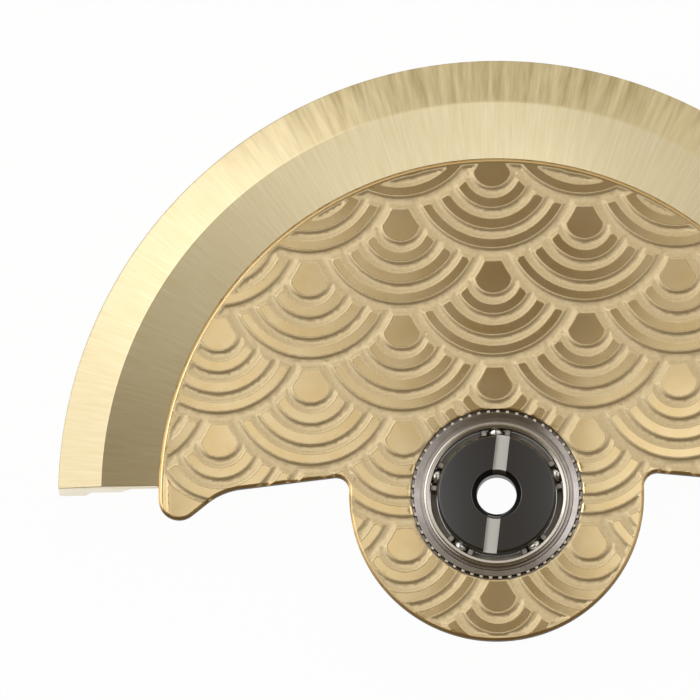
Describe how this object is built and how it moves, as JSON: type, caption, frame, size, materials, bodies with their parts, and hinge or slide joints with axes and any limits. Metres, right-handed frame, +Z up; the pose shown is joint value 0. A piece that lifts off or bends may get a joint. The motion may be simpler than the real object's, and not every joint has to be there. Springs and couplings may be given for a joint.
{
  "type": "automatic watch rotor",
  "caption": "Self-winding watch rotor: engraved plate with a heavy half-ring weight on a small ball bearing, with a driving gear below.",
  "frame": {"origin": "on the bearing's axis, on the core's flat face that sits on the movement", "axes": "+Z up the bore to the decorated side, +Y to the middle of the weight, +X along the weight's two ends"},
  "size_m": [0.0264, 0.0176, 0.0023],
  "materials": {
    "engraved_gold_plate": "gold-plated brass, frosted grooves with polished raised bands",
    "brushed_gold_weight": "gold-plated heavy metal, brushed across the rim",
    "ring_steel": "turned steel",
    "gear_steel": "cut steel teeth",
    "core_steel": "turned and ground steel",
    "polished_disc_steel": "mirror-polished steel with a ground slot",
    "cage_steel": "bright stamped steel",
    "ball_steel": "polished bearing steel"
  },
  "bodies": {
    "inner_race": {"bearing_core": "core_steel", "slotted_disc": "polished_disc_steel"},
    "rotor": {"rotor_plate": "engraved_gold_plate", "rim_weight": "brushed_gold_weight", "bearing_outer_ring": "ring_steel", "driving_gear": "gear_steel"},
    "cage": {"ball_cage": "cage_steel"},
    "ball_a": {"ball_1": "ball_steel"},
    "ball_b": {"ball_2": "ball_steel"},
    "ball_c": {"ball_3": "ball_steel"},
    "ball_d": {"ball_4": "ball_steel"},
    "ball_e": {"ball_5": "ball_steel"}
  },
  "joints": [
    {"name": "rotor_spin", "type": "hinge", "parent": "inner_race", "child": "rotor", "pos_m": [0, 0, 0], "axis": [0, 0, 1], "continuous": true},
    {"name": "cage_spin", "type": "hinge", "parent": "inner_race", "child": "cage", "pos_m": [0, 0, 0], "axis": [0, 0, 1], "continuous": true},
    {"name": "ball_a_spin", "type": "hinge", "parent": "cage", "child": "ball_a", "pos_m": [0, 0.00191, 0.00055], "axis": [0, 0, 1], "continuous": true},
    {"name": "ball_b_spin", "type": "hinge", "parent": "cage", "child": "ball_b", "pos_m": [-0.00182, 0.00059, 0.00055], "axis": [0, 0, 1], "continuous": true},
    {"name": "ball_c_spin", "type": "hinge", "parent": "cage", "child": "ball_c", "pos_m": [-0.00112, -0.00155, 0.00055], "axis": [0, 0, 1], "continuous": true},
    {"name": "ball_d_spin", "type": "hinge", "parent": "cage", "child": "ball_d", "pos_m": [0.00112, -0.00155, 0.00055], "axis": [0, 0, 1], "continuous": true},
    {"name": "ball_e_spin", "type": "hinge", "parent": "cage", "child": "ball_e", "pos_m": [0.00182, 0.00059, 0.00055], "axis": [0, 0, 1], "continuous": true}
  ],
  "couplings": [
    {"joint": "cage_spin", "follows": "rotor_spin", "ratio": 0.54628},
    {"joint": "ball_a_spin", "follows": "rotor_spin", "ratio": 5.356},
    {"joint": "ball_b_spin", "follows": "rotor_spin", "ratio": 5.356},
    {"joint": "ball_c_spin", "follows": "rotor_spin", "ratio": 5.356},
    {"joint": "ball_d_spin", "follows": "rotor_spin", "ratio": 5.356},
    {"joint": "ball_e_spin", "follows": "rotor_spin", "ratio": 5.356}
  ]
}
